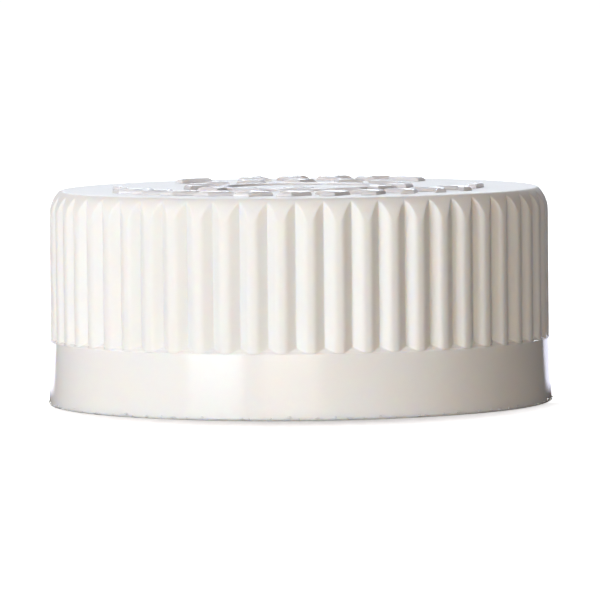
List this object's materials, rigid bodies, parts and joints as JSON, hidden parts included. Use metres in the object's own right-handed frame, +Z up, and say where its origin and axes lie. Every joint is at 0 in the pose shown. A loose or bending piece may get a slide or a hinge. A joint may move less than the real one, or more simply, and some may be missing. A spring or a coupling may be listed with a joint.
{
  "type": "child-resistant cap",
  "caption": "Push-and-turn child-resistant screw cap: a ribbed outer shell that turns freely on a threaded inner cap until pressed down, with a sealing disc.",
  "frame": {"origin": "centre of the circle that the cap's open rim stands on, in the plane of that rim", "axes": "+Z up along the cap's axis from the open rim to the closed top; -Y is the side that the picture shows, +X is to its right"},
  "size_m": [0.0432, 0.0432, 0.0184],
  "materials": {
    "outer_cap": "glossy white polypropylene",
    "inner_cap": "satin white polypropylene",
    "liner": "matt white foamed polyethylene"
  },
  "bodies": {
    "inner_cap": {"inner_cap": "inner_cap"},
    "liner": {"liner": "liner"},
    "outer_cap": {"outer_cap": "outer_cap"}
  },
  "joints": [
    {"name": "turn", "type": "hinge", "parent": "inner_cap", "child": "liner", "pos_m": [0, 0, 0.01285], "axis": [0, 0, 1], "continuous": true},
    {"name": "push_down", "type": "slide", "parent": "liner", "child": "outer_cap", "axis": [0, 0, -1], "range_m": [0, 0.0012], "stiffness_N_per_m": 8000}
  ]
}
